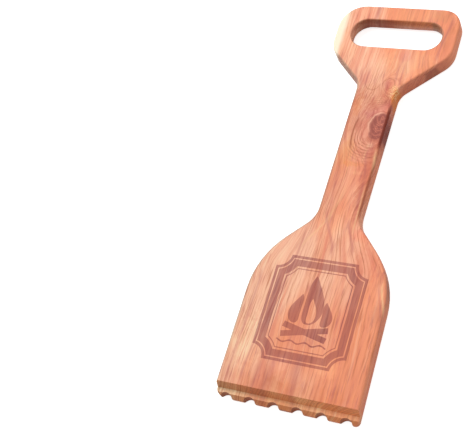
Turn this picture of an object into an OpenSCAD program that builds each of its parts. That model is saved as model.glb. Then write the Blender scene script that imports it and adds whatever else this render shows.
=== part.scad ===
// Grill scraper sawn and routed from one cedar board.
// It lies on its back: X is the width, Y the length towards the grip, Z the thickness.
// The origin is on the back, below the middle of the board.

/* [Board] */
// Length over all, tooth tips to the top of the grip
total_l = 448; // [420:1:470]
// Thickness of the board
board_t = 18; // [16:0.5:22]
// Radius routed along the outline on both faces
edge_round = 2.5; // [1:0.25:3]

/* [Blade] */
// Width across the tooth tips
edge_w = 141.7; // [138:0.1:150]
// Width where the sides would meet the shoulders
blade_w = 139; // [132:0.5:146]
// Length from the tooth tips to where the sides would meet the shoulders
blade_l = 143; // [134:1:155]
// Slope of the shoulders, measured from the width
shoulder_angle = 46.4; // [40:0.2:50]
// Radius between side and shoulder
shoulder_r = 86; // [50:1:90]
// Radius of the right corner beside the teeth
corner_r = 4.5; // [3:0.5:10]
// Radius of the left corner beside the teeth, which is rounder
corner_left_r = 7.5; // [3:0.5:10]

/* [Neck] */
// How far the shoulders and the neck sit to the right of the toothed edge's middle
neck_shift = -1.4; // [-3:0.1:0]
// Width of the neck
neck_w = 42.8; // [34:0.2:50]
// How far the neck's upper end sits to the right of its lower end
neck_lean = 1; // [0:0.1:2]
// Inner radius between shoulder and neck
neck_root_r = 28; // [12:1:34]

/* [Grip] */
// Width of the grip
grip_w = 130.4; // [120:0.2:140]
// How far the grip sits to the right of the toothed edge's middle
grip_shift = 2.3; // [0:0.1:5]
// Height of the grip's straight sides, corner to corner
grip_h = 57; // [52:1:62]
// Slope of the grip's lower edges, measured from the width
flare_angle = 44; // [38:1:50]
// Inner radius between neck and grip
flare_r = 20; // [8:1:26]
// Radius of the grip's lower corners
grip_low_r = 26; // [10:1:30]
// Radius of the grip's upper right corner
grip_top_r = 20; // [10:1:24]
// Radius of the grip's upper left corner, where the board ran out into sapwood
grip_top_left_r = 27.5; // [18:0.5:30]

/* [Grip slot] */
// Width of the slot for the fingers
slot_w = 98; // [84:0.2:102]
// Height of the slot, which ends in half circles
slot_h = 33.6; // [28:0.2:36]
// Wood left between the slot and the top of the grip
slot_wall = 18; // [16:0.2:22]
// How far the slot sits to the right of the grip's middle
slot_shift = 0.8; // [-2:0.1:2]
// Radius routed along the slot on the front face
slot_round = 2; // [1:0.5:5]
// Radius routed along the slot on the back
slot_back_round = 6; // [3:0.5:7]

/* [Working edge] */
// Thickness of the toothed lip, from the back up to the ledge
lip_t = 9.5; // [7:0.5:12]
// Length of the steep cut between the face and the ledge
steep_l = 3.8; // [2:0.1:7]
// Length of the flat ledge
ledge_l = 4.5; // [2:0.1:7]
// Length and height of the bevel on the tooth tips
tip_bevel = 3.4; // [1.5:0.1:4]
// Number of notches between the teeth
notch_n = 6; // [4:1:6]
// Distance between neighbouring notches
notch_pitch = 23.9; // [18:0.1:25]
// How far the row of notches sits to the right of the toothed edge's middle
notch_shift = -0.9; // [-3:0.1:3]
// Diameter of the round cutter that makes a notch
notch_d = 12.8; // [9:0.2:15]
// Depth of a notch from the tooth tips
notch_depth = 4.4; // [3:0.1:5]

/* [Hidden] */
$fn = 96;
over = 2;
arc_steps = 8;
edge_steps = 4;
y_tip = -total_l / 2;
y_top = total_l / 2;
y_shoulder = y_tip + blade_l;
y_root = y_shoulder + (blade_w - neck_w) / 2 * tan(shoulder_angle);
grip_left = grip_shift - grip_w / 2;
grip_right = grip_shift + grip_w / 2;
y_low = y_top - grip_h;
flare_left = neck_shift + neck_lean - neck_w / 2;
flare_right = neck_shift + neck_lean + neck_w / 2;
y_flare_left = y_low - (flare_left - grip_left) * tan(flare_angle);
y_flare_right = y_low - (grip_right - flare_right) * tan(flare_angle);
slot_y = y_top - slot_wall - slot_h / 2;

// Corners of the outline, counterclockwise: x, y and the radius of the arc that rounds it
CORNERS = [
    [-edge_w / 2, y_tip, corner_left_r],
    [edge_w / 2, y_tip, corner_r],
    [neck_shift + blade_w / 2, y_shoulder, shoulder_r],
    [neck_shift + neck_w / 2, y_root, neck_root_r],
    [flare_right, y_flare_right, flare_r],
    [grip_right, y_low, grip_low_r],
    [grip_right, y_top, grip_top_r],
    [grip_left, y_top, grip_top_left_r],
    [grip_left, y_low, grip_low_r],
    [flare_left, y_flare_left, flare_r],
    [neck_shift - neck_w / 2, y_root, neck_root_r],
    [neck_shift - blade_w / 2, y_shoulder, shoulder_r]
];
LAST = len(CORNERS) - 1;

function place(i) = [CORNERS[i][0], CORNERS[i][1]];
function radius(i) = CORNERS[i][2];
function following(i) = i == LAST ? 0 : i + 1;
function before(i) = i == 0 ? LAST : i - 1;
function heading(i) =
    let (way = place(following(i)) - place(i))
    atan2(way[1], way[0]);
function unit(angle) = [cos(angle), sin(angle)];
// Turn at a corner, above zero where the outline bulges out
function turn(i) =
    let (change = heading(i) - heading(before(i)))
    change > 180 ? change - 360 : change < -180 ? change + 360 : change;
function cutback(i) = radius(i) * tan(abs(turn(i)) / 2);
function arc_start(i) = place(i) - cutback(i) * unit(heading(before(i)));
function arc_centre(i) = arc_start(i) + sign(turn(i)) * radius(i) * unit(heading(before(i)) + 90);
// Direction from an arc's centre to where the arc starts
function arc_from(i) = heading(before(i)) - sign(turn(i)) * 90;
// The outline moved inwards by a distance
function inset(by) = [
    for (i = [0 : LAST])
        for (step = [0 : arc_steps])
            arc_centre(i) + (radius(i) - sign(turn(i)) * by) * unit(arc_from(i) + turn(i) * step / arc_steps)
];

// One ring of points round the board, at an angle along the routed edge from its side to its face
function ring(angle, top) =
    let (z = edge_round * (1 - sin(angle)))
    [for (p = inset(edge_round * (1 - cos(angle)))) [p[0], p[1], top ? board_t - z : z]];

// The sawn and rounded board before anything is cut into it. Its side is a wall of four-sided
// patches between the rings, and each face is a ladder of them from the left side to the right
module blank() {
    rings = [
        for (step = [edge_steps : -1 : 0]) ring(90 * step / edge_steps, false),
        for (step = [0 : edge_steps]) ring(90 * step / edge_steps, true)
    ];
    size = len(rings[0]);
    top_start = (len(rings) - 1) * size;
    function left(rung) = (arc_steps - rung + size) % size;
    function right(rung) = arc_steps + 1 + rung;
    polyhedron(
        points = [for (one = rings) each one],
        faces = [
            for (rung = [0 : size / 2 - 2])
                [left(rung), right(rung), right(rung + 1), left(rung + 1)],
            for (start = [0 : size : top_start - 1])
                for (i = [0 : size - 1])
                    [start + i, start + size + i, start + size + (i + 1) % size, start + (i + 1) % size],
            for (rung = [0 : size / 2 - 2])
                [for (at = [left(rung), left(rung + 1), right(rung + 1), right(rung)]) top_start + at]
        ]
    );
}

// What a rounding cutter takes off beside the slot, just below a face
module slot_flare(r) {
    difference() {
        translate([-over, -r])
            square([r + over, r + over]);
        translate([r, -r])
            circle(r = r);
    }
}

// Half of the section of the grip slot, which flares out round at both faces
module slot_section() {
    translate([0, -over])
        square([slot_h / 2, board_t + 2 * over]);
    translate([slot_h / 2, board_t])
        slot_flare(slot_round);
    translate([slot_h / 2, 0])
        mirror([0, 1, 0])
            slot_flare(slot_back_round);
}

module grip_slot() {
    reach = (slot_w - slot_h) / 2;
    translate([grip_shift + slot_shift, slot_y, 0]) {
        for (side = [0, 1])
            mirror([0, side, 0])
                rotate([90, 0, 90])
                    linear_extrude(2 * reach, center = true)
                        slot_section();
        for (side = [-1, 1])
            translate([side * reach, 0, 0])
                rotate([0, 0, -side * 90])
                    rotate_extrude(angle = 180)
                        slot_section();
    }
}

// What the saw takes off the front: a steep cut down to the ledge, then the bevel of the tips
module edge_cut() {
    foot = y_tip + tip_bevel + ledge_l;
    slope = steep_l / (board_t - lip_t);
    rotate([90, 0, 90])
        linear_extrude(edge_w + 2 * over, center = true)
            polygon([
                [foot + (board_t - lip_t + over) * slope, board_t + over],
                [foot, lip_t],
                [y_tip + tip_bevel, lip_t],
                [y_tip - over, lip_t - tip_bevel - over],
                [y_tip - over, board_t + over]
            ]);
}

module notches() {
    for (i = [0 : notch_n - 1])
        translate([notch_shift + (i - (notch_n - 1) / 2) * notch_pitch, y_tip + notch_depth - notch_d / 2, -over])
            cylinder(h = board_t + 2 * over, d = notch_d);
}

module scraper() {
    color("#dc9168")
        difference() {
            blank();
            grip_slot();
            edge_cut();
            notches();
        }
}

scraper();
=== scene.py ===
"""The grill scraper: one cedar board with its grain, knot and burnt mark, on a pale studio floor."""

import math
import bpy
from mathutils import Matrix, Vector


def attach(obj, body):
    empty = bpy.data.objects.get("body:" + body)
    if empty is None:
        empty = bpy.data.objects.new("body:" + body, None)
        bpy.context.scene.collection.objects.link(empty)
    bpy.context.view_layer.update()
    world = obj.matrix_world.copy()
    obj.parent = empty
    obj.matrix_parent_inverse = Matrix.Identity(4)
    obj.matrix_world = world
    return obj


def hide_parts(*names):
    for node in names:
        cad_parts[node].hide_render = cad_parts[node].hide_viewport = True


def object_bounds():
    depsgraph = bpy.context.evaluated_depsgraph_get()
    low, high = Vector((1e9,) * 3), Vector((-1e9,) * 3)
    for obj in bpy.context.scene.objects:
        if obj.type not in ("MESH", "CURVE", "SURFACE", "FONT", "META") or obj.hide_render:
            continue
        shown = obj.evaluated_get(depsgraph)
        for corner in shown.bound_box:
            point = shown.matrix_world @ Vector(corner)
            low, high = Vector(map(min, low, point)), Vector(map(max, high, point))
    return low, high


bl_info = {
    "name": "Cedar grill scraper",
    "version": (1, 0, 0),
    "blender": (4, 5, 0),
    "location": "3D View > Sidebar > Scraper",
    "description": "Builds the finished board of a cedar grill scraper and the studio it is shown in",
    "category": "Object",
}

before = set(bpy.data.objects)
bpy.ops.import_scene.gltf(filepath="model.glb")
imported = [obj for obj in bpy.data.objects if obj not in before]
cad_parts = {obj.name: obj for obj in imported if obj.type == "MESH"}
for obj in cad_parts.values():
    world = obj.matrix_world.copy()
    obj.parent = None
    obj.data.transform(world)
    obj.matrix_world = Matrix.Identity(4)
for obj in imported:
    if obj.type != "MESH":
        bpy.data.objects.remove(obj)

import bmesh
import bpy
from bpy.props import FloatProperty, FloatVectorProperty, PointerProperty
from mathutils import Euler, Vector

CAD_BOX = [list(corner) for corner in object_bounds()]
NODE = "scraper"


# ---------------------------------------------------------------- settings


def length(name, description, default):
    return FloatProperty(
        name=name, description=description, default=default, min=0.0, unit="LENGTH", subtype="DISTANCE"
    )


def colour(name, description, default):
    return FloatVectorProperty(
        name=name, description=description, default=default, size=3, min=0.0, max=1.0, subtype="COLOR"
    )


class BoardSettings(bpy.types.PropertyGroup):
    """The board's shape beyond the CAD solid"""

    edge_break: length("Edge break", "The most that the sharp sawn edges are sanded back", 0.0004)
    front_break: length(
        "Front break", "The most that the edge between face and steep cut is sanded back", 0.0009
    )


class CedarSettings(bpy.types.PropertyGroup):
    """The colours of the wood, with some painted light and painted highlights among them"""

    early: colour("Early wood", "Palest wood between the growth rings", (1.0, 0.54, 0.365))
    heart: colour("Heartwood", "Wood of the middle tone", (0.91, 0.318, 0.172))
    streak: colour("Streaks", "Reddish brown streaks along the grain", (0.73, 0.225, 0.145))
    vein: colour("Veins", "The few purple veins that are seen one by one", (0.54, 0.17, 0.14))
    late: colour("Late wood", "Thin dark line that ends a growth ring", (0.44, 0.125, 0.065))
    sapwood: colour("Sapwood", "Cream wood under the bark, at the grip's left edge", (0.93, 0.82, 0.62))
    knot: colour("Knot", "The dark knot at the right side of the neck", (0.31, 0.080, 0.062))
    gum: colour("Gum", "Darkest wood, in the cleft beside the knot", (0.20, 0.032, 0.018))
    resin: colour("Resin", "Specks of resin in the corner above the knot", (1.0, 0.66, 0.30))
    amber: colour("Amber wood", "Wood soaked with resin, beside the specks", (0.74, 0.22, 0.045))
    # Also the colour of the painted highlights along the right arris
    sliver_and_highlight: colour("Slivers", "Bright slivers of grain along the neck", (1.0, 0.60, 0.31))
    burnt: colour("Burnt wood", "Wood of the mark burnt into the blade", (0.44, 0.145, 0.105))
    cut_left: colour("Cut, left", "Tint of the working edge's sawn side, left", (0.82, 0.68, 0.48))
    cut_right: colour("Cut, right", "Tint of the working edge's sawn side, right", (1.0, 1.0, 0.76))
    routed: colour("Routed side", "Tint of the routed sides that cross the grain", (0.74, 0.64, 0.70))
    slot_left: colour("Slot, left half", "Tint of the slot's sides at the left", (0.51, 0.45, 0.48))
    slot_right: colour("Slot, right half", "Tint of the slot's sides at the right", (0.92, 1.0, 1.0))
    slot_front: colour("Slot, front", "Tint of the slot's sides next to the front face", (0.84, 0.72, 0.56))
    # Painted light from the floor on the back of the slot's sides
    slot_floor_light: colour("Slot, pale band", "Wood along the back of the slot's sides", (0.84, 0.54, 0.52))


class StageSettings(bpy.types.PropertyGroup):
    """Floor, lamps and camera"""

    floor: colour("Floor", "Colour of the floor as the board is lit by it", (0.72, 0.72, 0.72))
    key_power: FloatProperty(
        name="Key lamp",
        description="Power of the large lamp at the upper left",
        default=15.6,
        unit="POWER",
    )
    sky: FloatProperty(
        name="Sky",
        description="Strength of the even light from all round",
        default=0.52,
        min=0.0,
    )
    lens: FloatProperty(
        name="Lens",
        description="Focal length on a sensor 36 mm wide",
        default=85.778,
        subtype="DISTANCE_CAMERA",
    )


# ------------------------------------------------------------- node making


class Sheet:
    """A node tree that is written as sums: every method adds nodes and gives back their output"""

    def __init__(self, tree):
        self.tree = tree

    def node(self, kind, **values):
        made = self.tree.nodes.new(kind)
        for name, value in values.items():
            setattr(made, name, value)
        return made

    def put(self, socket, value):
        """Link the value to the socket where it comes from a node, and otherwise set it there"""
        if isinstance(value, bpy.types.NodeSocket):
            self.tree.links.new(value, socket)
        else:
            socket.default_value = value

    def maths(self, operation, *values):
        made = self.node("ShaderNodeMath", operation=operation)
        for socket, value in zip(made.inputs, values):
            self.put(socket, value)
        return made.outputs[0]

    def add(self, a, b):
        return self.maths("ADD", a, b)

    def sub(self, a, b):
        return self.maths("SUBTRACT", a, b)

    def mul(self, a, b):
        return self.maths("MULTIPLY", a, b)

    def div(self, a, b):
        return self.maths("DIVIDE", a, b)

    def power(self, a, b):
        return self.maths("POWER", a, b)

    def size(self, a):
        return self.maths("ABSOLUTE", a)

    def least(self, first, *others):
        for value in others:
            first = self.maths("MINIMUM", first, value)
        return first

    def most(self, first, *others):
        for value in others:
            first = self.maths("MAXIMUM", first, value)
        return first

    def reach(self, a, b):
        """Length of the vector (a, b)"""
        return self.maths("SQRT", self.add(self.mul(a, a), self.mul(b, b)))

    def oval(self, x, y, middle, radii):
        """Distance from the middle of an oval, 1 on its rim"""
        across = self.div(self.sub(x, middle[0]), radii[0])
        along = self.div(self.sub(y, middle[1]), radii[1])
        return self.reach(across, along)

    def bump_of(self, distance):
        """A smooth hill, 1 where the distance is nothing"""
        return self.maths("EXPONENT", self.mul(self.mul(distance, distance), -1.0))

    def ramp(self, value, low, high, to_low=0.0, to_high=1.0):
        """A smooth step from to_low, where the value is low, to to_high, where it is high"""
        made = self.node("ShaderNodeMapRange", interpolation_type="SMOOTHSTEP")
        for socket, given in zip(made.inputs, (value, low, high, to_low, to_high)):
            self.put(socket, given)
        return made.outputs[0]

    def inside(self, distance):
        """1 where the distance is below nothing, 0 outside, soft over a quarter of a millimetre"""
        return self.ramp(distance, -0.125, 0.125, 1.0, 0.0)

    def vector(self, x, y, z):
        made = self.node("ShaderNodeCombineXYZ")
        for socket, value in zip(made.inputs, (x, y, z)):
            self.put(socket, value)
        return made.outputs[0]

    def apart(self, vector):
        made = self.node("ShaderNodeSeparateXYZ")
        self.put(made.inputs[0], vector)
        return tuple(made.outputs)

    def noise(self, vector, detail=2.0, roughness=0.5):
        made = self.node("ShaderNodeTexNoise", noise_dimensions="3D")
        self.put(made.inputs["Vector"], vector)
        self.put(made.inputs["Scale"], 1.0)
        self.put(made.inputs["Detail"], detail)
        self.put(made.inputs["Roughness"], roughness)
        return made.outputs["Fac"]

    def blotches(self, x, y, z, lengths, detail=2.0):
        """Noise in blotches of the given lengths along x, y and z"""
        return self.noise(self.vector(*map(self.div, (x, y, z), lengths)), detail)

    def ring_noise(self, rings, y, thick, long, layer, detail=2.0, roughness=0.5):
        """Noise in streaks along the growth rings, of another pattern in each layer"""
        place = self.vector(self.div(rings, thick), self.div(y, long), layer)
        return self.noise(place, detail, roughness)

    def mix(self, share, a, b, kind="MIX"):
        """The share of b laid over a, each a colour or the output of a node"""
        made = self.node("ShaderNodeMix", data_type="RGBA", blend_type=kind, clamp_result=True)
        self.put(made.inputs["Factor"], share)
        for title, value in (("A", a), ("B", b)):
            linked = isinstance(value, bpy.types.NodeSocket)
            self.put(made.inputs[title], value if linked else (*value, 1.0))
        return made.outputs["Result"]


def new_group(name, inputs, outputs):
    """An empty shader group with its sockets: its tree as a Sheet, its input and its output node"""
    tree = bpy.data.node_groups.new(name, "ShaderNodeTree")
    for kind, sockets in (("INPUT", inputs), ("OUTPUT", outputs)):
        for title, socket_type in sockets:
            tree.interface.new_socket(name=title, in_out=kind, socket_type=socket_type)
    start = tree.nodes.new("NodeGroupInput")
    end = tree.nodes.new("NodeGroupOutput")
    return Sheet(tree), start, end


def place_group(s, group, **values):
    made = s.node("ShaderNodeGroup", node_tree=group)
    for title, value in values.items():
        s.put(made.inputs[title], value)
    return made


FLOAT = "NodeSocketFloat"
COLOR = "NodeSocketColor"
VECTOR = "NodeSocketVector"


# ------------------------------------------------------------- plain cedar
#
# From here to the end of the material, places and lengths are in millimetres: x runs over the
# width, y from the teeth to the grip and z from the back to the face, which lies at 18. An oval
# is given by its middle and its radii.

# The tree's middle: how far it lies right of the board's middle, and how far under its back
PITH_RIGHT = 95.0
PITH_UNDER = 40.0
# The line that the grain closes up to in the neck, left of the board's middle
CLOSING_LINE = 14.0
# Where the grain is curly
CURLY = ((4.0, 92.0), (30.0, 46.0))
# What the grain bends round: the knot, the small figure above it, and the sweep at their right
KNOT_BEND = ((11.0, 70.0), (17.0, 23.0))
FIGURE_BEND = ((11.5, 126.5), (8.0, 10.0))
SWEEP_BEND = ((32.0, 48.0), (38.0, 46.0))


def rings_group():
    """Distance from the tree's middle, spread over the blade and bent out round the knot"""
    s, start, end = new_group("Growth rings", [("Place", VECTOR)], [("Rings", FLOAT), ("Wander", FLOAT)])
    x, y, z = s.apart(start.outputs["Place"])
    slow = s.blotches(x, y, z, (60.0, 210.0, 60.0), detail=1.0)
    quick = s.blotches(x, y, z, (12.0, 60.0, 12.0))
    curly = s.blotches(x, y, z, (5.5, 7.0, 9.0))
    curls = s.add(s.bump_of(s.oval(x, y, *CURLY)), 0.12)
    wander = s.add(s.mul(s.sub(slow, 0.5), 24.0), s.mul(s.sub(quick, 0.5), 4.0))
    wander = s.add(wander, s.mul(s.sub(curly, 0.5), s.mul(curls, 8.0)))

    # Tight in the neck, wide over the blade and at the knot
    tight = s.add(s.ramp(y, -90.0, -16.0, 1.0, 1.85), s.ramp(y, 20.0, 88.0, 0.0, -0.85))
    tight = s.add(tight, s.ramp(y, 110.0, 170.0, 0.0, 0.25))
    spread = s.sub(s.mul(s.add(x, CLOSING_LINE), tight), CLOSING_LINE)
    radius = s.reach(s.sub(s.add(spread, wander), PITH_RIGHT), s.add(z, PITH_UNDER))

    knot = s.maths("EXPONENT", s.mul(s.oval(x, y, *KNOT_BEND), -1.0))
    figure = s.bump_of(s.oval(x, y, *FIGURE_BEND))
    sweep = s.bump_of(s.oval(x, y, *SWEEP_BEND))
    bend = s.sub(s.add(s.mul(knot, 110.0), s.mul(figure, 20.0)), s.mul(sweep, 52.0))
    s.put(end.inputs["Rings"], s.sub(radius, bend))
    s.put(end.inputs["Wander"], wander)
    return s.tree


# Where the late wood hardly shows, at the left of the neck's upper end
PLAIN_NECK = ((-11.0, 98.0), (26.0, 13.0))
# The calm, pale wood of the left shoulder
CALM_SHOULDER = ((-38.0, -66.0), (18.0, 24.0))
# Painted sheen: what the light on the fibres adds
FIBRE_SHEEN = (1.0, 0.66, 0.42)


def grain_group(rings, cedar):
    """Colour and height of plain cedar, without what is special to this board"""
    s, start, end = new_group(
        "Cedar grain",
        [("Place", VECTOR)],
        [("Colour", COLOR), ("Height", FLOAT), ("Rings", FLOAT), ("Fibres", FLOAT), ("Wander", FLOAT)],
    )
    x, y, z = s.apart(start.outputs["Place"])
    field = place_group(s, rings, Place=start.outputs["Place"])
    rings_at, wander = field.outputs["Rings"], field.outputs["Wander"]

    bands = s.ring_noise(rings_at, y, 11.0, 170.0, 3.1, detail=3.0, roughness=0.6)
    streaks = s.ring_noise(rings_at, y, 2.9, 120.0, 7.7, detail=3.0, roughness=0.62)
    jitter = s.ring_noise(rings_at, y, 9.0, 150.0, 5.0, detail=1.0)
    hairs = s.noise(s.vector(s.mul(rings_at, 0.65), s.div(y, 38.0), 1.4), roughness=0.6)
    clouds = s.blotches(x, y, z, (30.0, 80.0, 30.0))
    flecks = s.blotches(s.add(x, s.mul(wander, 0.3)), y, z, (1.8, 24.0, 1.8))
    fibres = s.noise(s.vector(s.mul(x, 1.6), s.div(y, 9.0), s.mul(z, 1.6)), detail=4.0, roughness=0.65)

    # Late wood, the thin dark line that ends each year
    year = s.maths("FRACT", s.add(s.div(rings_at, 4.3), s.mul(jitter, 2.4)))
    plain = s.sub(1.0, s.mul(s.bump_of(s.oval(x, y, *PLAIN_NECK)), 0.9))
    plain = s.mul(plain, s.ramp(y, 114.0, 138.0, 1.0, 0.62))
    late = s.mul(s.mul(s.power(year, 7.0), s.ramp(streaks, 0.40, 0.60)), plain)

    # Paler towards the left and over the upper blade, then the streaks, lines and flecks
    leftwards = s.sub(clouds, s.mul(s.sub(x, s.ramp(y, -60.0, 60.0, 0.0, 12.0)), 0.0042))
    upper_blade = s.bump_of(s.div(s.add(y, 75.0), 60.0))
    paleness = s.add(leftwards, s.mul(upper_blade, 0.14))
    base = s.mix(s.ramp(paleness, 0.40, 0.80), cedar.heart, cedar.early)
    fine = s.mul(s.ramp(hairs, 0.49, 0.28), s.ramp(y, -185.0, -135.0, 0.42, 0.64))
    for share, tone in (
        (s.ramp(bands, 0.52, 0.30, 0.0, 0.55), cedar.streak),
        (s.ramp(streaks, 0.55, 0.33, 0.0, 0.60), cedar.streak),
        (s.ramp(streaks, 0.54, 0.70, 0.0, 0.36), cedar.early),
        (s.mul(fine, plain), cedar.late),
        (s.ramp(flecks, 0.46, 0.26, 0.0, 0.65), cedar.vein),
        (s.mul(late, 0.62), cedar.late),
    ):
        base = s.mix(share, base, tone)
    base = s.mix(s.ramp(fibres, 0.40, 0.62, 0.0, 0.24), base, FIBRE_SHEEN, "SOFT_LIGHT")
    base = s.mix(s.mul(s.bump_of(s.oval(x, y, *CALM_SHOULDER)), 0.45), base, cedar.early)

    sunk = s.add(s.mul(late, 0.5), s.mul(s.mul(hairs, plain), 0.3))
    s.put(end.inputs["Colour"], base)
    s.put(end.inputs["Height"], s.sub(s.mul(fibres, 0.7), sunk))
    s.put(end.inputs["Rings"], rings_at)
    s.put(end.inputs["Fibres"], fibres)
    s.put(end.inputs["Wander"], wander)
    return s.tree


# ------------------------------------------------------- veins and slivers

# The veins that are seen one by one: lower end, upper end, half width, strength
VEINS = (
    # blade and root of the neck
    ((-48.0, -206.0), (-29.0, -48.0), 1.3, 0.60),
    ((-44.0, -190.0), (-25.5, -52.0), 0.7, 0.40),
    ((-62.5, -208.0), (-60.5, -95.0), 1.5, 0.50),
    ((68.2, -128.0), (59.2, -90.0), 1.0, 0.45),
    ((4.5, -70.0), (-13.0, -22.0), 1.5, 0.50),
    ((24.5, -66.0), (12.0, -30.0), 1.5, 0.65),
    ((6.0, -226.0), (3.0, -172.0), 4.0, 0.50),
    ((-25.0, -226.0), (-21.0, -178.0), 3.4, 0.45),
    ((-35.0, -218.0), (-32.0, -186.0), 1.6, 0.40),
    # neck
    ((16.0, -34.0), (14.4, 16.0), 1.5, 0.46),
    ((14.0, 14.0), (8.4, 50.0), 1.6, 0.50),
    ((-9.0, -34.0), (-14.5, 14.0), 1.5, 0.28),
    # grip
    ((18.4, 128.0), (18.0, 152.0), 0.8, 0.60),
    ((22.6, 126.0), (23.4, 154.0), 1.0, 0.50),
    ((-13.4, 124.0), (-13.0, 142.0), 0.9, 0.80),
    ((-18.0, 120.0), (-20.5, 144.0), 1.2, 0.42),
    ((-24.0, 122.0), (-27.5, 146.0), 1.5, 0.42),
    ((53.0, 160.0), (59.0, 216.0), 1.3, 0.60),
    ((-22.0, 205.0), (-22.5, 230.0), 2.2, 0.70),
)

# Bright slivers of grain in the neck, and painted highlights along the board's right arris (the first two
# and the last), given in the same way
SLIVERS_AND_HIGHLIGHTS = (
    ((20.8, 22.0), (18.0, 50.0), 1.5, 1.00),
    ((18.4, -40.0), (17.6, 8.0), 0.8, 0.60),
    ((7.6, 38.0), (8.2, 54.0), 0.9, 0.60),
    ((-9.0, -34.0), (-2.0, 2.0), 1.6, 0.28),
    ((-27.0, -66.0), (-11.0, -30.0), 1.2, 0.35),
    ((70.6, -128.0), (61.4, -90.0), 1.1, 0.60),
)


def follow(s, x, y, lines):
    """The strength of whichever line is there, nothing away from them all"""
    total = 0.0
    for (low_x, low_y), (high_x, high_y), half, strength in lines:
        middle = s.ramp(y, low_y, high_y, low_x, high_x)
        begun = s.ramp(y, low_y - 6.0, low_y + 8.0)
        to_come = s.ramp(y, high_y + 6.0, high_y - 8.0, 0.0, strength)
        line = s.mul(s.bump_of(s.div(s.sub(x, middle), half)), s.mul(begun, to_come))
        total = s.most(total, line)
    return total


def veins_group(cedar):
    """Lays the single veins over the front half of the board, and the slivers and painted highlights over
    its face
    """
    s, start, end = new_group(
        "Veins", [("Place", VECTOR), ("Wood", COLOR), ("Wander", FLOAT)], [("Colour", COLOR)]
    )
    x, y, z = s.apart(start.outputs["Place"])
    wander = start.outputs["Wander"]
    dark = s.mul(follow(s, s.add(x, s.mul(wander, 0.22)), y, VEINS), s.ramp(z, 2.0, 8.0))
    lit = s.mul(follow(s, s.add(x, s.mul(wander, 0.02)), y, SLIVERS_AND_HIGHLIGHTS), s.ramp(z, 14.0, 16.0))
    wood = s.mix(dark, start.outputs["Wood"], cedar.vein)
    s.put(end.inputs["Colour"], s.mix(lit, wood, cedar.sliver_and_highlight))
    return s.tree


# -------------------------------------------------- knot, patches and resin

# Patches of another tone: each an oval, and the tint of its middle
PATCHES = (
    # grip
    ((-45.0, 176.0), (18.0, 34.0), (0.98, 0.98, 0.94)),
    ((-40.0, 214.0), (16.0, 14.0), (0.95, 0.84, 0.80)),
    ((18.0, 214.0), (34.0, 14.0), (1.0, 1.08, 1.02)),
    ((24.0, 156.0), (34.0, 18.0), (1.04, 1.22, 1.22)),
    ((20.0, 163.0), (9.0, 8.0), (0.94, 0.84, 0.92)),
    ((48.0, 215.0), (12.0, 9.0), (0.90, 0.97, 0.93)),
    ((60.0, 190.0), (5.0, 24.0), (0.90, 0.88, 0.86)),
    ((-14.0, 132.0), (7.0, 10.0), (0.95, 0.84, 0.88)),
    ((11.0, 127.0), (5.5, 8.5), (0.80, 0.66, 0.76)),
    # neck above the knot
    ((4.0, 113.0), (28.0, 17.0), (0.86, 0.74, 0.70)),
    ((9.0, 107.0), (7.0, 5.0), (1.08, 1.24, 1.20)),
    ((14.5, 101.0), (7.0, 9.0), (0.90, 0.78, 0.84)),
    ((-15.0, 99.0), (6.0, 14.0), (0.96, 0.82, 0.67)),
    # beside the knot
    ((-9.0, 88.0), (17.0, 24.0), (0.87, 0.77, 0.76)),
    ((3.0, 90.0), (13.0, 6.0), (0.88, 0.76, 0.84)),
    ((-4.0, 71.0), (7.0, 15.0), (0.98, 0.86, 0.84)),
    # neck below the knot
    ((11.0, 60.5), (9.0, 5.0), (0.78, 0.66, 0.62)),
    ((11.0, 54.0), (3.6, 2.8), (1.10, 1.34, 1.30)),
    ((10.0, 46.0), (8.0, 7.0), (0.92, 0.82, 0.84)),
    ((16.5, 18.0), (7.0, 58.0), (0.80, 0.68, 0.69)),
    ((-12.0, 42.0), (9.0, 20.0), (1.0, 0.96, 0.76)),
    ((-3.0, 31.0), (14.0, 3.0), (1.0, 0.96, 0.82)),
    ((6.0, 22.0), (7.0, 2.4), (1.06, 1.18, 1.15)),
    ((-16.0, -4.0), (8.0, 16.0), (0.97, 0.88, 0.86)),
    # blade
    ((0.0, -38.0), (16.0, 14.0), (1.06, 1.18, 1.20)),
    ((41.0, -72.0), (15.0, 22.0), (0.92, 0.76, 0.74)),
    ((-46.0, -100.0), (26.0, 50.0), (1.06, 1.08, 1.06)),
    ((60.0, -112.0), (12.0, 40.0), (1.03, 1.07, 1.10)),
    ((63.0, -121.0), (6.0, 14.0), (0.84, 0.83, 0.86)),
    ((-15.0, -204.0), (9.0, 10.0), (0.88, 0.82, 0.78)),
    ((26.0, -45.0), (8.0, 8.0), (1.0, 0.82, 0.80)),
    ((-52.0, -170.0), (18.0, 28.0), (1.14, 1.32, 1.28)),
    ((-16.0, -184.0), (12.0, 9.0), (1.08, 1.22, 1.32)),
    ((30.0, -181.0), (12.0, 11.0), (1.13, 1.24, 1.20)),
    ((0.0, -212.0), (70.0, 15.0), (0.95, 0.88, 0.80)),
)

# The warm wood all round the knot
WARM_WOOD = ((12.0, 78.0), (19.0, 36.0))
WARM_TINT = (0.86, 0.72, 0.76)

# The arcs left of the knot and below it, and the small ones above it: their middle and spacing
ARC_MIDDLE, ARC_SPACING = (8.0, 64.0), 3.1
SMALL_ARC_MIDDLE, SMALL_ARC_SPACING = (9.0, 84.0), 2.3
SMALL_ARCS = ((5.5, 103.5), (9.0, 6.0))
# The strong line at the neck's left: middle and radius of its arc, and half its width
STRONG_MIDDLE, STRONG_RADIUS, STRONG_HALF = (53.0, 68.0), 64.3, 1.05
# Two thin lines, a trough at the left and a hood over the small figure: the oval that each runs
# along, and the y where it starts and where it is full
THIN_LINES = (
    ((-5.5, 128.0), (7.6, 9.0), 128.0, 124.0),
    ((11.5, 125.0), (6.6, 9.5), 122.0, 127.0),
)

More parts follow.
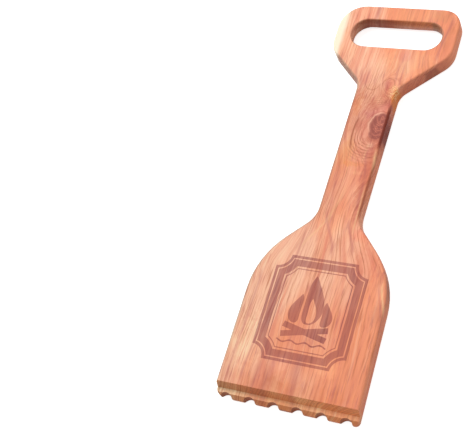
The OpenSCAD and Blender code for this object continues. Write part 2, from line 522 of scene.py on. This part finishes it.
# The knot itself, the whorl in its upper half and the part that is nicked
KNOT = ((16.0, 76.0), (11.8, 16.5))
WHORL = ((15.0, 87.0), (6.0, 9.0))
NICKED = ((14.5, 74.0), (6.5, 12.0))

# Painted light on the neck's right side, below the knot, which makes it pale
NECK_SIDE_LIGHT = (1.14, 1.30, 1.32)

# Amber wood and resin in the corner between neck and grip, and the stain on the grip's right side
AMBER_CORNER = ((21.5, 113.0), (3.8, 11.0))
SPECKLED_CORNER = ((18.8, 119.5), (4.8, 8.5))
GRIP_STAIN = ((50.0, 148.0), (8.0, 10.0))
# The stain on the wall of the right shoulder
SHOULDER_TINT = (0.50, 0.46, 0.43)


def lay_patches(s, x, y, wood, ripple, mottle):
    """The warm wood round the knot, and every patch of another tone"""
    near = s.add(s.oval(x, y, *WARM_WOOD), ripple)
    wood = s.mix(s.ramp(near, 1.35, 0.6, 0.0, 0.9), wood, WARM_TINT, "MULTIPLY")
    for middle, radii, tint in PATCHES:
        reach = s.add(s.oval(x, y, middle, radii), s.mul(ripple, 1.5))
        reach = s.add(reach, s.mul(s.sub(mottle, 0.5), 1.1))
        wood = s.mix(s.ramp(reach, 1.3, 0.3), wood, tint, "MULTIPLY")
    return wood


def hoops(s, distance, spacing):
    """Thin lines at an even spacing"""
    wave = s.maths("SINE", s.mul(distance, 2.0 * math.pi / spacing))
    return s.power(s.ramp(wave, -1.0, 1.0), 2.0)


def lay_arcs(s, x, y, wood, ripple, mottle, late):
    """The arcs and the single lines that run round the knot and over the small figure above it"""
    faded = s.ramp(mottle, 0.32, 0.60, 0.22, 0.74)

    # Left of the knot and below it
    rise = s.sub(y, ARC_MIDDLE[1])
    squeezed = s.mul(rise, s.ramp(rise, -3.0, 3.0, 1.0, 0.72))
    away = s.add(s.reach(s.sub(x, ARC_MIDDLE[0]), squeezed), s.mul(ripple, 6.0))
    band = s.mul(s.ramp(away, 7.0, 11.0), s.mul(s.ramp(away, 40.0, 14.0), s.ramp(x, -15.0, -8.0)))
    side = s.mul(s.ramp(x, 18.0, 4.0), s.ramp(y, 84.0, 54.0, 0.10, 1.0))
    arcs = s.mul(hoops(s, away, ARC_SPACING), band)
    wood = s.mix(s.mul(arcs, s.mul(side, faded)), wood, late)

    # Above it
    away = s.reach(s.sub(x, SMALL_ARC_MIDDLE[0]), s.sub(y, SMALL_ARC_MIDDLE[1]))
    away = s.add(away, s.mul(ripple, 6.0))
    arcs = s.mul(hoops(s, away, SMALL_ARC_SPACING), s.bump_of(s.oval(x, y, *SMALL_ARCS)))
    wood = s.mix(s.mul(arcs, s.mul(faded, 0.8)), wood, late)

    # The strong line
    off = s.sub(s.reach(s.sub(x, STRONG_MIDDLE[0]), s.sub(y, STRONG_MIDDLE[1])), STRONG_RADIUS)
    strong = s.bump_of(s.div(s.add(off, s.mul(ripple, 2.0)), STRONG_HALF))
    ends = s.mul(s.ramp(y, 46.0, 54.0), s.mul(s.ramp(y, 87.0, 81.0), s.ramp(x, 5.0, 0.0)))
    wood = s.mix(s.mul(s.mul(strong, ends), 0.95), wood, late)

    # The thin lines
    for middle, radii, start_y, full_y in THIN_LINES:
        rim = s.add(s.oval(x, y, middle, radii), s.mul(ripple, 1.3))
        thin = s.bump_of(s.div(s.sub(rim, 1.0), 0.085))
        wood = s.mix(s.mul(thin, s.ramp(y, start_y, full_y, 0.0, 0.48)), wood, late)
    return wood


def lay_knot(s, x, y, z, wood, ripple, mottle, cedar):
    """The knot itself: mottled, darkest at its lower left, with a pale rim at the upper left"""
    core = s.add(s.oval(x, y, *KNOT), s.mul(ripple, 0.9))
    upper_left = s.mul(s.ramp(x, 16.0, 10.0), s.ramp(y, 66.0, 76.0))
    rim = s.mul(s.bump_of(s.div(s.sub(core, 1.06), 0.06)), upper_left)
    whorl = s.add(s.oval(x, y, *WHORL), s.mul(ripple, 1.6))
    curls = s.ramp(s.maths("SINE", s.mul(whorl, 9.0)), 0.0, 1.0, 0.0, 0.50)
    curls = s.mul(curls, s.ramp(x, 6.0, 12.0, 0.3, 1.0))
    nicks = s.blotches(x, s.add(y, s.mul(x, 0.5)), z, (3.4, 1.2, 3.0))
    nicks = s.mul(s.ramp(nicks, 0.50, 0.68), s.ramp(s.oval(x, y, *NICKED), 1.2, 0.5))
    pale = s.most(curls, s.most(nicks, s.ramp(mottle, 0.52, 0.80, 0.0, 0.7)))
    body = s.mix(s.mul(pale, 0.78), cedar.knot, cedar.streak)
    wood = s.mix(s.mul(s.ramp(core, 1.18, 0.80), 0.95), wood, body)
    return s.mix(s.mul(rim, 0.55), wood, cedar.early)


def lay_neck_side(s, x, y, z, wood, ripple, cedar):
    """The dark cleft where the knot reaches the arris, and the neck's right side beside it"""
    shore = s.add(x, s.mul(ripple, 1.5))
    tall = s.mul(s.ramp(y, 46.0, 60.0), s.ramp(y, 108.0, 94.0))
    cleft = s.mul(s.ramp(shore, 17.4, 19.0), s.mul(tall, s.ramp(z, 14.5, 16.0, 0.0, 0.92)))
    wood = s.mix(cleft, wood, cedar.gum)

    # Stained beside the knot and above it
    side = s.mul(s.ramp(x, 16.0, 18.0), s.ramp(z, 16.0, 14.5))
    for middle, half, strength, tone in ((98.0, 10.0, 0.30, cedar.late), (72.0, 15.0, 0.86, cedar.gum)):
        stain = s.mul(s.bump_of(s.div(s.sub(y, middle), half)), strength)
        wood = s.mix(s.mul(side, stain), wood, tone)

    # Painted light makes the side pale below it, with a dark seam just under the arris
    below = s.mul(s.ramp(y, -40.0, -20.0), s.ramp(y, 62.0, 50.0))
    side = s.mul(s.ramp(x, 17.5, 19.5), s.ramp(z, 15.5, 13.5))
    wood = s.mix(s.mul(side, below), wood, NECK_SIDE_LIGHT, "MULTIPLY")
    seam = s.bump_of(s.div(s.sub(x, s.ramp(y, 20.0, 38.0, 19.4, 21.3)), 0.8))
    return s.mix(s.mul(s.mul(seam, below), s.ramp(z, 13.0, 15.0, 0.0, 0.85)), wood, cedar.late)


def lay_resin(s, x, y, z, wood, ripple, cedar):
    """The amber wood and the specks of resin in the corner between neck and grip"""
    soaked = s.add(s.oval(x, y, *AMBER_CORNER), s.mul(ripple, 3.0))
    wood = s.mix(s.ramp(soaked, 1.2, 0.5, 0.0, 0.75), wood, cedar.amber)
    grit = s.blotches(x, y, z, (1.3, 1.5, 1.5), detail=1.0)
    speckled = s.add(s.oval(x, y, *SPECKLED_CORNER), s.mul(ripple, 3.5))
    specks = s.mul(s.ramp(grit, 0.48, 0.60, 0.0, 0.9), s.ramp(speckled, 1.25, 0.5))
    return s.mix(s.mul(specks, s.ramp(z, 8.0, 14.0)), wood, cedar.resin)


def lay_stains(s, x, y, z, wood, ripple, cedar):
    """The stains on the grip's right side and on the wall of the right shoulder"""
    grip = s.add(s.oval(x, y, *GRIP_STAIN), s.mul(ripple, 3.0))
    grip = s.ramp(grip, 1.2, 0.5, 0.0, 0.45)
    wood = s.mix(s.mul(grip, s.ramp(z, 16.0, 14.0)), wood, cedar.gum)
    shoulder = s.mul(s.ramp(x, 50.0, 58.0), s.bump_of(s.div(s.add(y, 92.0), 17.0)))
    return s.mix(s.mul(shoulder, s.ramp(z, 16.8, 14.8)), wood, SHOULDER_TINT, "MULTIPLY")


def knot_group(cedar):
    """Lays the patches, the knot with its arcs, its resin and the stained sides over the wood"""
    s, start, end = new_group(
        "Knot", [("Place", VECTOR), ("Wood", COLOR), ("Ripple", FLOAT)], [("Colour", COLOR)]
    )
    x, y, z = s.apart(start.outputs["Place"])
    ripple = start.outputs["Ripple"]
    mottle = s.blotches(x, y, z, (2.6, 3.6, 4.0))
    wood = lay_patches(s, x, y, start.outputs["Wood"], ripple, mottle)
    wood = lay_arcs(s, x, y, wood, ripple, mottle, cedar.late)
    wood = lay_knot(s, x, y, z, wood, ripple, mottle, cedar)
    wood = lay_neck_side(s, x, y, z, wood, ripple, cedar)
    wood = lay_resin(s, x, y, z, wood, ripple, cedar)
    wood = lay_stains(s, x, y, z, wood, ripple, cedar)
    s.put(end.inputs["Colour"], wood)
    return s.tree


# -------------------------------------------------------------- burnt mark

# How far the mark's middle lies below the board's, half the width and height of its frame, and
# the radius of the frame's scooped corners
MARK_BELOW = 129.0
FRAME_HALF = (47.0, 54.0)
SCOOP = 13.0
# The frame's burnt band, the pale line in it and the thin line inside it: how deep in from the rim
# the middle of each lies, and half its width
FRAME_LINES = ((5.5, 5.5), (3.4, 0.6), (13.4, 0.5))
# The fire's tongues: foot, height, half width and lean
TONGUES = (
    ((0.0, -14.0), 50.0, 13.5, 2.6),
    ((-13.5, -14.0), 30.0, 8.0, -2.0),
    ((16.0, -14.0), 25.0, 7.4, 2.0),
)
PALE_TONGUE = ((1.0, -12.5), 25.0, 6.0, 1.4)
# The two logs: middle, half length and half thickness, and how they are tilted, in degrees
LOGS_MIDDLE, LOG_HALF, LOG_TILTS = (0.0, -21.5), (23.0, 2.9), (13.0, -13.0)
# The wavy ground: how far it lies under the mark's middle, half its width and half its thickness
GROUND_UNDER, GROUND_REACH, GROUND_HALF = 33.0, 25.0, 0.8


def flame(s, x, y, foot, tall, wide, lean):
    """Signed reach of one tongue of fire that stands on its foot, below nothing inside it"""
    rise = s.div(s.sub(y, foot[1]), tall)
    within = s.most(s.least(rise, 1.0), 0.0)
    half = s.mul(s.mul(s.power(within, 0.42), s.power(s.sub(1.0, within), 0.85)), wide * 1.62)
    middle = s.add(s.mul(s.maths("SINE", s.mul(within, 4.6)), lean), foot[0])
    sideways = s.sub(s.size(s.sub(x, middle)), half)
    return s.most(sideways, s.mul(s.sub(rise, 1.0), tall), s.mul(rise, -tall))


def log(s, x, y, middle, half, tilt):
    """Signed reach of a log that is tilted by some degrees, below nothing inside it"""
    cos, sin = math.cos(math.radians(tilt)), math.sin(math.radians(tilt))
    across, up = s.sub(x, middle[0]), s.sub(y, middle[1])
    along = s.add(s.mul(across, cos), s.mul(up, sin))
    over = s.sub(s.mul(up, cos), s.mul(across, sin))
    return s.most(s.sub(s.size(along), half[0]), s.sub(s.size(over), half[1]))


def mark_group():
    """1 where a framed camp fire is burnt into the blade's face"""
    s, start, end = new_group("Burnt mark", [("Place", VECTOR)], [("Burnt", FLOAT)])
    x, y, z = s.apart(start.outputs["Place"])
    y = s.add(y, MARK_BELOW)
    beside, above = s.sub(s.size(x), FRAME_HALF[0]), s.sub(s.size(y), FRAME_HALF[1])
    plaque = s.most(beside, above, s.sub(SCOOP, s.reach(beside, above)))
    band, pale, thin = (
        s.inside(s.sub(s.size(s.add(plaque, depth)), half)) for depth, half in FRAME_LINES
    )
    fire = s.least(*(flame(s, x, y, *tongue) for tongue in TONGUES))
    heart = flame(s, x, y, *PALE_TONGUE)
    logs = s.least(*(log(s, x, y, LOGS_MIDDLE, LOG_HALF, tilt) for tilt in LOG_TILTS))
    wave = s.mul(s.maths("SINE", s.mul(x, 0.42)), 1.2)
    ground = s.sub(s.size(s.sub(s.add(y, GROUND_UNDER), wave)), GROUND_HALF)
    ground = s.most(ground, s.sub(s.size(x), GROUND_REACH))
    burnt = s.least(band, s.sub(1.0, pale))
    burnt = s.most(burnt, thin, s.inside(logs), s.inside(ground))
    burnt = s.most(burnt, s.least(s.inside(fire), s.sub(1.0, s.inside(heart))))
    s.put(end.inputs["Burnt"], s.mul(burnt, s.ramp(z, 17.0, 17.5)))
    return s.tree


# ---------------------------------------------------------------- material

MM_PER_METRE = 1000.0
# Where the sapwood begins, left of the board's middle
SAPWOOD_X = -53.5
# Tints of the fresh cut ledge behind the teeth, of the painted shade on the teeth's tips and of the painted
# shade on the left-facing side
LEDGE_TINT = (1.0, 1.25, 1.15)
TIPS_SHADE_TINT = (0.86, 0.83, 0.80)
LEFT_SHADE_TINT = (0.61, 0.77, 0.83)
# Tints of the burnt wood, and of the streaks in it
CHAR_TINT = (0.60, 0.48, 0.57)
CHAR_STREAKS = (0.68, 0.62, 0.74)
# Relief of the wood, in metres, and how much of it shows
RELIEF = 0.00012
RELIEF_SHARE = 0.35


def marked(s, name):
    """What the board's mesh notes under a name, from 0 to 1"""
    return s.node("ShaderNodeAttribute", attribute_name=name).outputs["Fac"]


def lay_end_grain(s, x, y, z, wood, crossed, rings, ripple, cedar):
    """Where the cut crosses the grain the rings show and the wood drinks light"""
    routed = s.ramp(y, -205.0, -190.0)
    growth = s.maths("FRACT", s.add(s.div(rings, 2.3), s.mul(ripple, 0.8)))
    dark_rings = s.ramp(growth, 0.35, 0.95, 1.0, s.ramp(routed, 0.0, 1.0, 0.86, 0.88))
    cut = s.mix(s.ramp(x, -66.0, 24.0), cedar.cut_left, cedar.cut_right)
    slot = s.mix(s.ramp(x, -18.0, 24.0), cedar.slot_left, cedar.slot_right)
    at_slot = s.mul(s.ramp(y, 170.0, 176.0), s.ramp(y, 212.0, 209.0))
    tint = s.mix(at_slot, s.mix(routed, cut, cedar.routed), slot)
    tint = s.mix(1.0, tint, s.vector(dark_rings, dark_rings, dark_rings), "MULTIPLY")
    wood = s.mix(crossed, wood, s.mix(1.0, wood, tint, "MULTIPLY"))

    # The slot's side is darker at the front, with a band of painted light from the floor along the back of
    # its right half
    in_slot = s.mul(at_slot, crossed)
    front = s.ramp(z, 9.0, 14.0)
    wood = s.mix(s.mul(in_slot, front), wood, cedar.slot_front, "MULTIPLY")
    floor_light_band = s.mul(s.ramp(z, 11.0, 6.0), s.ramp(x, -10.0, 10.0, 0.0, 0.32))
    return s.mix(s.mul(in_slot, floor_light_band), wood, cedar.slot_floor_light)


def cedar_material(cedar):
    """The board's wood: its grain, and what is special to this board"""
    material = bpy.data.materials.new("cedar")
    material.use_nodes = True
    s = Sheet(material.node_tree)
    scale = s.node("ShaderNodeMapping")
    scale.inputs["Scale"].default_value = (MM_PER_METRE, MM_PER_METRE, MM_PER_METRE)
    s.put(scale.inputs["Vector"], s.node("ShaderNodeTexCoord").outputs["Object"])
    place = scale.outputs["Vector"]
    x, y, z = s.apart(place)

    grain = place_group(s, grain_group(rings_group(), cedar), Place=place)
    wood, wander = grain.outputs["Colour"], grain.outputs["Wander"]
    rings, fibres = grain.outputs["Rings"], grain.outputs["Fibres"]
    wood = place_group(s, veins_group(cedar), Place=place, Wood=wood, Wander=wander).outputs["Colour"]
    ripple = s.mul(s.sub(s.blotches(x, y, z, (9.0, 12.0, 9.0), detail=3.0), 0.5), 0.55)
    wood = place_group(s, knot_group(cedar), Place=place, Wood=wood, Ripple=ripple).outputs["Colour"]

    # Sapwood at the left of the grip
    bark_side = s.add(s.sub(SAPWOOD_X, x), s.mul(ripple, 4.0))
    sap = s.mul(s.ramp(bark_side, -2.5, 3.0), s.ramp(y, 110.0, 150.0))
    wood = s.mix(sap, wood, cedar.sapwood)

    crossed = s.ramp(marked(s, "across_grain"), 0.15, 0.95)
    wood = lay_end_grain(s, x, y, z, wood, crossed, rings, ripple, cedar)

    # The sunken ledge behind the teeth is freshly cut, and painted shade darkens the end faces of the
    # teeth's tips
    ledge = s.mul(s.ramp(y, -210.0, -216.0), s.ramp(z, 12.0, 10.5))
    wood = s.mix(s.mul(ledge, s.sub(1.0, crossed)), wood, LEDGE_TINT, "MULTIPLY")
    tips = s.mul(s.ramp(y, -219.8, -221.0), crossed)
    wood = s.mix(tips, wood, TIPS_SHADE_TINT, "MULTIPLY")

    # Painted shade on the left-facing side of the board, except over the sapwood
    left_shade = s.ramp(marked(s, "left_edge"), 0.0, 0.28)
    wood = s.mix(s.mul(left_shade, s.sub(1.0, sap)), wood, LEFT_SHADE_TINT, "MULTIPLY")

    # Painted shade darkens the faces inside the notches
    wood = s.mix(s.mul(marked(s, "notch_shade"), 0.6), wood, cedar.gum)

    # The burnt mark keeps the grain
    burnt = place_group(s, mark_group(), Place=place).outputs["Burnt"]
    uneven = s.ring_noise(rings, y, 5.0, 45.0, 9.0)
    char = s.mix(0.3, s.mix(1.0, wood, CHAR_TINT, "MULTIPLY"), cedar.burnt)
    char = s.mix(s.ramp(uneven, 0.52, 0.30, 0.0, 0.75), char, CHAR_STREAKS, "MULTIPLY")
    wood = s.mix(s.mul(burnt, 0.93), wood, char)

    bump = s.node("ShaderNodeBump")
    bump.inputs["Strength"].default_value = RELIEF_SHARE
    bump.inputs["Distance"].default_value = RELIEF
    s.put(bump.inputs["Height"], s.sub(grain.outputs["Height"], s.mul(burnt, 0.8)))
    shader = material.node_tree.nodes["Principled BSDF"]
    shader.inputs["Specular IOR Level"].default_value = 0.16
    s.put(shader.inputs["Base Color"], wood)
    s.put(shader.inputs["Roughness"], s.ramp(fibres, 0.3, 0.7, 0.68, 0.56))
    s.put(shader.inputs["Normal"], bump.outputs["Normal"])
    return material


# ------------------------------------------------------------------- board
#
# From here on, places and lengths are in metres again.

FACE_Z = CAD_BOX[1][2]
TIPS_Y = CAD_BOX[0][1]
# Points nearer than this are one point
MERGE = 1e-6
# Faces that meet at less than FLAT are one face, and edges that bend by more than SHARP are sawn
FLAT = math.radians(0.4)
SHARP = math.radians(38.0)
# How far from the tips of the teeth the steep cut ends in the face
STEEP_CUT = 0.02
# How far from the tips of the teeth the notches end, and how far from the middle the outer ones
NOTCH_DEPTH = 0.006
NOTCHES_REACH = 0.0665


class SCRAPER_OT_board(bpy.types.Operator):
    """Make the finished board from the CAD solid, with its front edge broken and its cuts marked"""

    bl_idname = "scraper.board"
    bl_label = "Board"
    bl_options = {"REGISTER", "UNDO"}

    def execute(self, context):
        settings = context.scene.scraper_board
        work = bmesh.new()
        work.from_mesh(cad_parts[NODE].data)
        bmesh.ops.remove_doubles(work, verts=work.verts, dist=MERGE)
        bmesh.ops.dissolve_limit(work, angle_limit=FLAT, verts=work.verts, edges=work.edges)
        front = [edge for edge in self.sharp(work) if all(map(self.at_steep_cut, edge.verts))]
        self.bevel(work, front, settings.front_break)
        # The short edges at the notches hold this break to under a thousandth of a millimetre. It
        # leaves the sawn edges as sharp as the saw did, and keeps the shading of their faces apart
        self.bevel(work, self.sharp(work), settings.edge_break)
        bmesh.ops.recalc_face_normals(work, faces=work.faces)
        for face in work.faces:
            face.smooth = True
        mesh = bpy.data.meshes.new("board")
        work.to_mesh(mesh)
        work.free()
        board = bpy.data.objects.new("board", mesh)
        context.scene.collection.objects.link(board)
        weighted = board.modifiers.new("even shading", "WEIGHTED_NORMAL")
        weighted.weight = 100
        weighted.keep_sharp = True
        self.mark_cuts(mesh)
        mesh.materials.append(cedar_material(context.scene.scraper_cedar))
        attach(board, "root")
        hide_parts(NODE)
        return {"FINISHED"}

    def sharp(self, work):
        return [edge for edge in work.edges if edge.calc_face_angle(0.0) > SHARP]

    def at_steep_cut(self, vert):
        """Whether a point lies where the face ends and the steep cut begins"""
        return vert.co.z > FACE_Z - 1e-5 and vert.co.y < TIPS_Y + STEEP_CUT

    def bevel(self, work, edges, width):
        """Break edges by a width, or by less where the shortest one has no room for it"""
        bmesh.ops.bevel(
            work,
            geom=edges,
            offset=width,
            offset_type="OFFSET",
            affect="EDGES",
            segments=3,
            profile=0.5,
            material=-1,
            clamp_overlap=True,
        )

    def in_notch(self, face):
        """Whether a face of the board was left by the notches' cutter"""
        upright = abs(face.normal.z) < 0.1 and face.normal.y < 0.98
        near_tips = TIPS_Y < face.center.y < TIPS_Y + NOTCH_DEPTH
        return upright and near_tips and abs(face.center.x) < NOTCHES_REACH

    def mark_cuts(self, mesh):
        """Note where the surface crosses the grain, where it turns left, and where the notches are"""
        normals = [corner.vector.copy() for corner in mesh.corner_normals]
        notch_shade = [0.0] * len(normals)
        # The faces inside the notches get painted shade
        for face in filter(self.in_notch, mesh.polygons):
            for corner in face.loop_indices:
                notch_shade[corner] = 1.0
        marks = {
            "across_grain": [abs(normal.y) for normal in normals],
            "left_edge": [max(0.0, -normal.x) for normal in normals],
            "notch_shade": notch_shade,
        }
        for name, values in marks.items():
            mesh.attributes.new(name, "FLOAT", "CORNER").data.foreach_set("value", values)


# ------------------------------------------------------------------- stage

# Half the floor's width, and how far it lies under the board so that the two don't touch
FLOOR_HALF = 4.0
FLOOR_GAP = 0.0002
# How strongly the floor shines where it is seen, which holds its white
FLOOR_SHINE = 0.78
WHITE = (1.0, 1.0, 1.0, 1.0)
LAMP_SIZE = (1.1, 0.9)
LAMP_PLACE = (-0.62, 0.55, 1.25)
LAMP_AIM = (0.0, -0.02, 0.0)
# Place of the camera, how it is turned in degrees, and the nearest thing that it sees
CAMERA_PLACE = (0.356733, -0.459571, 0.944797)
CAMERA_TURN = (28.9322, 18.5951, 18.3152)
CAMERA_NEAREST = 0.05
# Width of the camera's sensor in millimetres
SENSOR_WIDTH = 36.0


class SCRAPER_OT_stage(bpy.types.Operator):
    """Make the pale floor, the soft lamps and the camera"""

    bl_idname = "scraper.stage"
    bl_label = "Stage"
    bl_options = {"REGISTER", "UNDO"}

    def execute(self, context):
        scene = context.scene
        settings = scene.scraper_stage
        self.floor(scene, settings)
        self.lamp(scene, settings)
        self.sky(scene, settings)
        self.camera(scene, settings)
        scene.view_settings.view_transform = "Standard"
        return {"FINISHED"}

    def seen(self, s):
        """1 for what the camera sees, straight or in a gloss, 0 for what lights the board"""
        path = s.node("ShaderNodeLightPath")
        rays = ("Is Camera Ray", "Is Glossy Ray", "Is Transmission Ray")
        return s.most(*(path.outputs[ray] for ray in rays))

    def floor(self, scene, settings):
        work = bmesh.new()
        bmesh.ops.create_grid(work, x_segments=2, y_segments=2, size=FLOOR_HALF)
        bmesh.ops.translate(work, verts=work.verts, vec=(0.0, 0.0, CAD_BOX[0][2] - FLOOR_GAP))
        mesh = bpy.data.meshes.new("floor")
        work.to_mesh(mesh)
        work.free()
        floor = bpy.data.objects.new("floor", mesh)
        scene.collection.objects.link(floor)
        material = bpy.data.materials.new("studio floor")
        material.use_nodes = True
        s = Sheet(material.node_tree)
        shader = material.node_tree.nodes["Principled BSDF"]
        shader.inputs["Base Color"].default_value = (*settings.floor, 1.0)
        shader.inputs["Roughness"].default_value = 1.0
        shader.inputs["Specular IOR Level"].default_value = 0.0
        shader.inputs["Emission Color"].default_value = WHITE
        s.put(shader.inputs["Emission Strength"], s.mul(self.seen(s), FLOOR_SHINE))
        mesh.materials.append(material)

    def lamp(self, scene, settings):
        key = bpy.data.lights.new("key lamp", "AREA")
        key.shape = "RECTANGLE"
        key.size, key.size_y = LAMP_SIZE
        key.energy = settings.key_power
        lamp = bpy.data.objects.new("key lamp", key)
        lamp.location = LAMP_PLACE
        aim = Vector(LAMP_AIM) - lamp.location
        lamp.rotation_euler = aim.to_track_quat("-Z", "Y").to_euler()
        scene.collection.objects.link(lamp)

    def sky(self, scene, settings):
        world = bpy.data.worlds.new("studio")
        world.use_nodes = True
        back = world.node_tree.nodes["Background"]
        back.inputs["Color"].default_value = WHITE
        s = Sheet(world.node_tree)
        extra = s.mul(self.seen(s), 1.0 - settings.sky)
        s.put(back.inputs["Strength"], s.add(extra, settings.sky))
        scene.world = world

    def camera(self, scene, settings):
        data = bpy.data.cameras.new("camera")
        data.sensor_width = SENSOR_WIDTH
        data.lens = settings.lens
        data.clip_start = CAMERA_NEAREST
        view = bpy.data.objects.new("camera", data)
        view.location = CAMERA_PLACE
        view.rotation_euler = Euler([math.radians(turn) for turn in CAMERA_TURN], "XYZ")
        scene.collection.objects.link(view)
        scene.camera = view


# ------------------------------------------------------------------- panel


class SCRAPER_PT_panel(bpy.types.Panel):
    """Lists what the scraper's operators make, each with its settings"""

    bl_idname = "SCRAPER_PT_panel"
    bl_label = "Cedar grill scraper"
    bl_space_type = "VIEW_3D"
    bl_region_type = "UI"
    bl_category = "Scraper"

    def draw(self, context):
        scene = context.scene
        for operator, groups in (
            ("scraper.board", (scene.scraper_board, scene.scraper_cedar)),
            ("scraper.stage", (scene.scraper_stage,)),
        ):
            box = self.layout.box()
            for settings in groups:
                for name in settings.bl_rna.properties.keys():
                    if name not in ("rna_type", "name"):
                        box.prop(settings, name)
            box.operator(operator)


CLASSES = (
    BoardSettings,
    CedarSettings,
    StageSettings,
    SCRAPER_OT_board,
    SCRAPER_OT_stage,
    SCRAPER_PT_panel,
)


def register():
    for one in CLASSES:
        bpy.utils.register_class(one)
    bpy.types.Scene.scraper_board = PointerProperty(type=BoardSettings)
    bpy.types.Scene.scraper_cedar = PointerProperty(type=CedarSettings)
    bpy.types.Scene.scraper_stage = PointerProperty(type=StageSettings)


def unregister():
    del bpy.types.Scene.scraper_stage
    del bpy.types.Scene.scraper_cedar
    del bpy.types.Scene.scraper_board
    for one in reversed(CLASSES):
        bpy.utils.unregister_class(one)


def main():
    register()
    bpy.ops.scraper.board()
    bpy.ops.scraper.stage()


if __name__ == "__main__":
    main()
